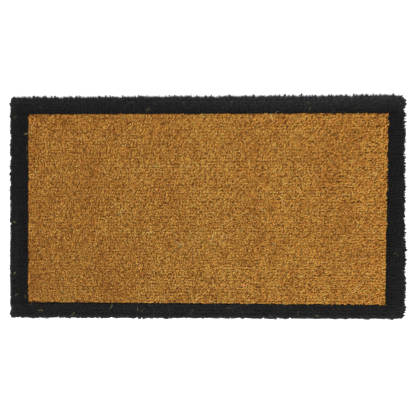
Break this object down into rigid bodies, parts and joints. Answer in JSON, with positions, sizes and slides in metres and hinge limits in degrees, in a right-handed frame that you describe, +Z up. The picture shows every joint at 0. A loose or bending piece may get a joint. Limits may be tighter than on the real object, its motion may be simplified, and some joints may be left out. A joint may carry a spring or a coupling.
{
  "type": "door mat",
  "caption": "Rectangular door mat of cut coir tufts on a vinyl backing, with a plain natural field inside a border dyed black.",
  "frame": {"origin": "middle of the flat underside, on the floor", "axes": "+X along the mat's length, +Y towards its rear edge, +Z up through the pile"},
  "size_m": [0.6052, 0.3402, 0.015],
  "materials": {
    "natural_coir": "undyed coconut fibre, cut upright pile, matt with a slight sheen along each fibre",
    "black_coir": "coconut fibre dyed black, cut upright pile, matt",
    "vinyl": "soft black vinyl, moulded underside with grip grooves"
  },
  "bodies": {
    "root": {"vinyl_backing": "vinyl", "natural_tufts_01": "natural_coir", "natural_tufts_02": "natural_coir", "natural_tufts_03": "natural_coir", "natural_tufts_04": "natural_coir", "natural_tufts_05": "natural_coir", "natural_tufts_06": "natural_coir", "natural_tufts_07": "natural_coir", "natural_tufts_08": "natural_coir", "natural_tufts_09": "natural_coir", "natural_tufts_10": "natural_coir", "natural_tufts_11": "natural_coir", "natural_tufts_12": "natural_coir", "natural_tufts_13": "natural_coir", "left_border_tufts_01": "black_coir", "left_border_tufts_02": "black_coir", "left_border_tufts_03": "black_coir", "left_border_tufts_04": "black_coir", "left_border_tufts_05": "black_coir", "left_border_tufts_06": "black_coir", "left_border_tufts_07": "black_coir", "left_border_tufts_08": "black_coir", "left_border_tufts_09": "black_coir", "left_border_tufts_10": "black_coir", "left_border_tufts_11": "black_coir", "left_border_tufts_12": "black_coir", "left_border_tufts_13": "black_coir", "right_border_tufts_01": "black_coir", "right_border_tufts_02": "black_coir", "right_border_tufts_03": "black_coir", "right_border_tufts_04": "black_coir", "right_border_tufts_05": "black_coir", "right_border_tufts_06": "black_coir", "right_border_tufts_07": "black_coir", "right_border_tufts_08": "black_coir", "right_border_tufts_09": "black_coir", "right_border_tufts_10": "black_coir", "right_border_tufts_11": "black_coir", "right_border_tufts_12": "black_coir", "right_border_tufts_13": "black_coir", "front_border_tufts": "black_coir", "rear_border_tufts": "black_coir"}
  },
  "joints": []
}
